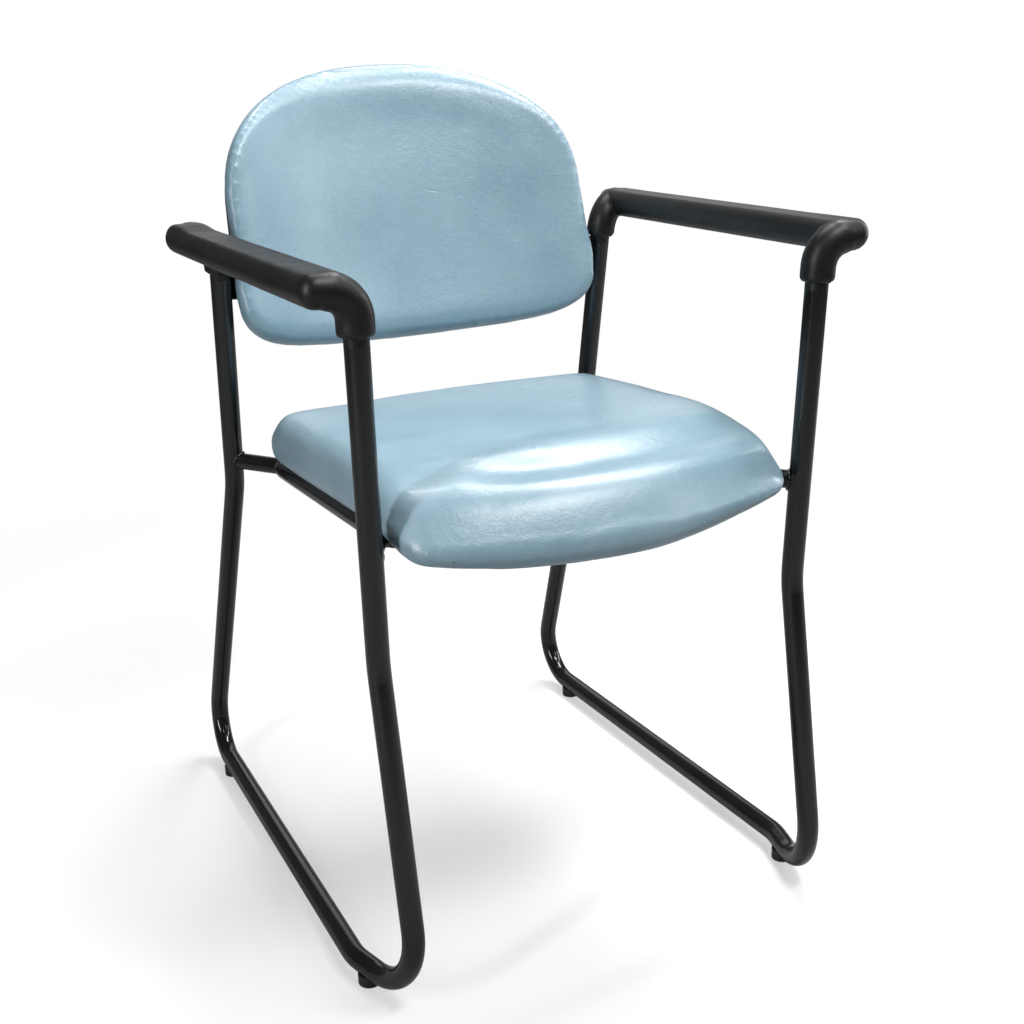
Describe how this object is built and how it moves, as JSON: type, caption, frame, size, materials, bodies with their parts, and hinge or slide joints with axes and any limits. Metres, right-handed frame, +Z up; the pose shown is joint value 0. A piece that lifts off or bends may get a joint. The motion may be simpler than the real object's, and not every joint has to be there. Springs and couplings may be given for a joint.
{
  "type": "sled base visitor chair",
  "caption": "Sled base visitor armchair with a bent steel tube frame, moulded arms, a padded waterfall seat and a padded curved back.",
  "frame": {"origin": "on the floor under the middle of the chair's bounding box", "axes": "+Z up, +X towards the sitter's left, -Y the way the sitter faces"},
  "size_m": [0.5668, 0.6976, 0.8683],
  "materials": {
    "frame_steel": "gloss black powder coat",
    "arm_plastic": "satin black moulded skin",
    "plug_plastic": "satin black",
    "glide_plastic": "satin black",
    "vinyl": "satin pale blue vinyl with a fine grain",
    "plywood": "bare moulded plywood",
    "shell_plastic": "satin black moulded shell",
    "dust_cloth": "matt black non-woven cloth",
    "fastener_steel": "black oxide"
  },
  "bodies": {
    "root": {"arm_plug_front_left": "plug_plastic", "arm_plug_front_right": "plug_plastic", "arm_plug_rear_left": "plug_plastic", "arm_plug_rear_right": "plug_plastic", "armrest_left": "arm_plastic", "armrest_right": "arm_plastic", "back_board": "plywood", "back_bracket": "frame_steel", "back_pad": "vinyl", "back_screws": "fastener_steel", "back_shell": "shell_plastic", "back_tee_nuts": "fastener_steel", "glide_front_left": "glide_plastic", "glide_front_right": "glide_plastic", "glide_rear_left": "glide_plastic", "glide_rear_right": "glide_plastic", "seat_board": "plywood", "seat_cross_front": "frame_steel", "seat_cross_rear": "frame_steel", "seat_dust_cover": "dust_cloth", "seat_outrigger_front_left": "frame_steel", "seat_outrigger_front_right": "frame_steel", "seat_outrigger_rear_left": "frame_steel", "seat_outrigger_rear_right": "frame_steel", "seat_pad": "vinyl", "seat_rail_left": "frame_steel", "seat_rail_right": "frame_steel", "seat_screws": "fastener_steel", "seat_tab_front_left": "frame_steel", "seat_tab_front_right": "frame_steel", "seat_tab_rear_left": "frame_steel", "seat_tab_rear_right": "frame_steel", "seat_tee_nuts": "fastener_steel", "seat_washers": "fastener_steel", "side_frame_left": "frame_steel", "side_frame_right": "frame_steel"}
  },
  "joints": []
}
